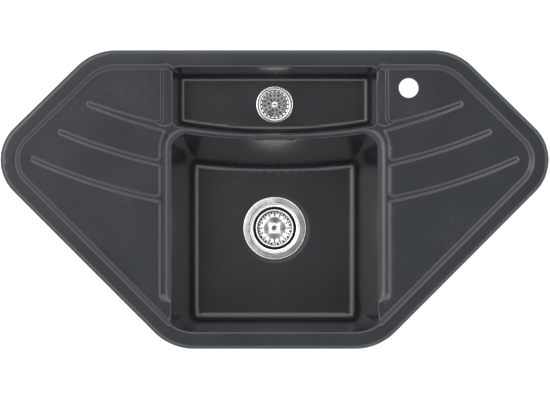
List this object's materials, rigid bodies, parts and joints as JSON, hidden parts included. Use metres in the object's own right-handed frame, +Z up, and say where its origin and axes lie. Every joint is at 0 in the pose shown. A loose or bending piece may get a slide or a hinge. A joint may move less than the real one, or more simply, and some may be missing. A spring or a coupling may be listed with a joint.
{
  "type": "corner kitchen sink",
  "caption": "Inset corner sink in graphite composite: main bowl with lift-out basket strainer, half bowl with fixed grid, grooved drainers on both sides, tap ledge.",
  "frame": {"origin": "centre of the sink's outline in plan, on the worktop's surface, which is the rim's underside", "axes": "+X to the right along the long side, +Y to the back edge with the tap ledge, +Z up out of the worktop"},
  "size_m": [0.9746, 0.531, 0.3007],
  "materials": {
    "composite": "satin graphite, fine mineral grain",
    "steel": "polished and lightly brushed stainless",
    "rubber": "matt black",
    "waste_plastic": "semi-gloss white moulding"
  },
  "bodies": {
    "sink": {"sink_body": "composite", "main_flange": "steel", "main_flange_gasket": "rubber", "main_body_gasket": "rubber", "main_waste_body": "waste_plastic", "main_clamp_screw": "steel", "grid_plate": "steel", "grid_screw": "steel", "grid_gasket": "rubber", "half_body_gasket": "rubber", "half_waste_body": "waste_plastic", "link_pipe": "waste_plastic", "link_seal_top": "rubber", "link_seal_side": "rubber", "link_nut_top": "waste_plastic", "link_nut_side": "waste_plastic", "clip_1": "steel", "clip_screw_1": "steel", "clip_2": "steel", "clip_screw_2": "steel", "clip_3": "steel", "clip_screw_3": "steel", "clip_4": "steel", "clip_screw_4": "steel", "clip_5": "steel", "clip_screw_5": "steel", "clip_6": "steel", "clip_screw_6": "steel"},
    "basket": {"basket_cup": "steel", "basket_knob": "steel", "basket_stem": "steel", "basket_seal": "rubber", "basket_seal_washer": "steel"}
  },
  "joints": [
    {"name": "basket_lift", "type": "slide", "parent": "sink", "child": "basket", "axis": [0, 0, 1], "range_m": [0, 0.24]}
  ]
}
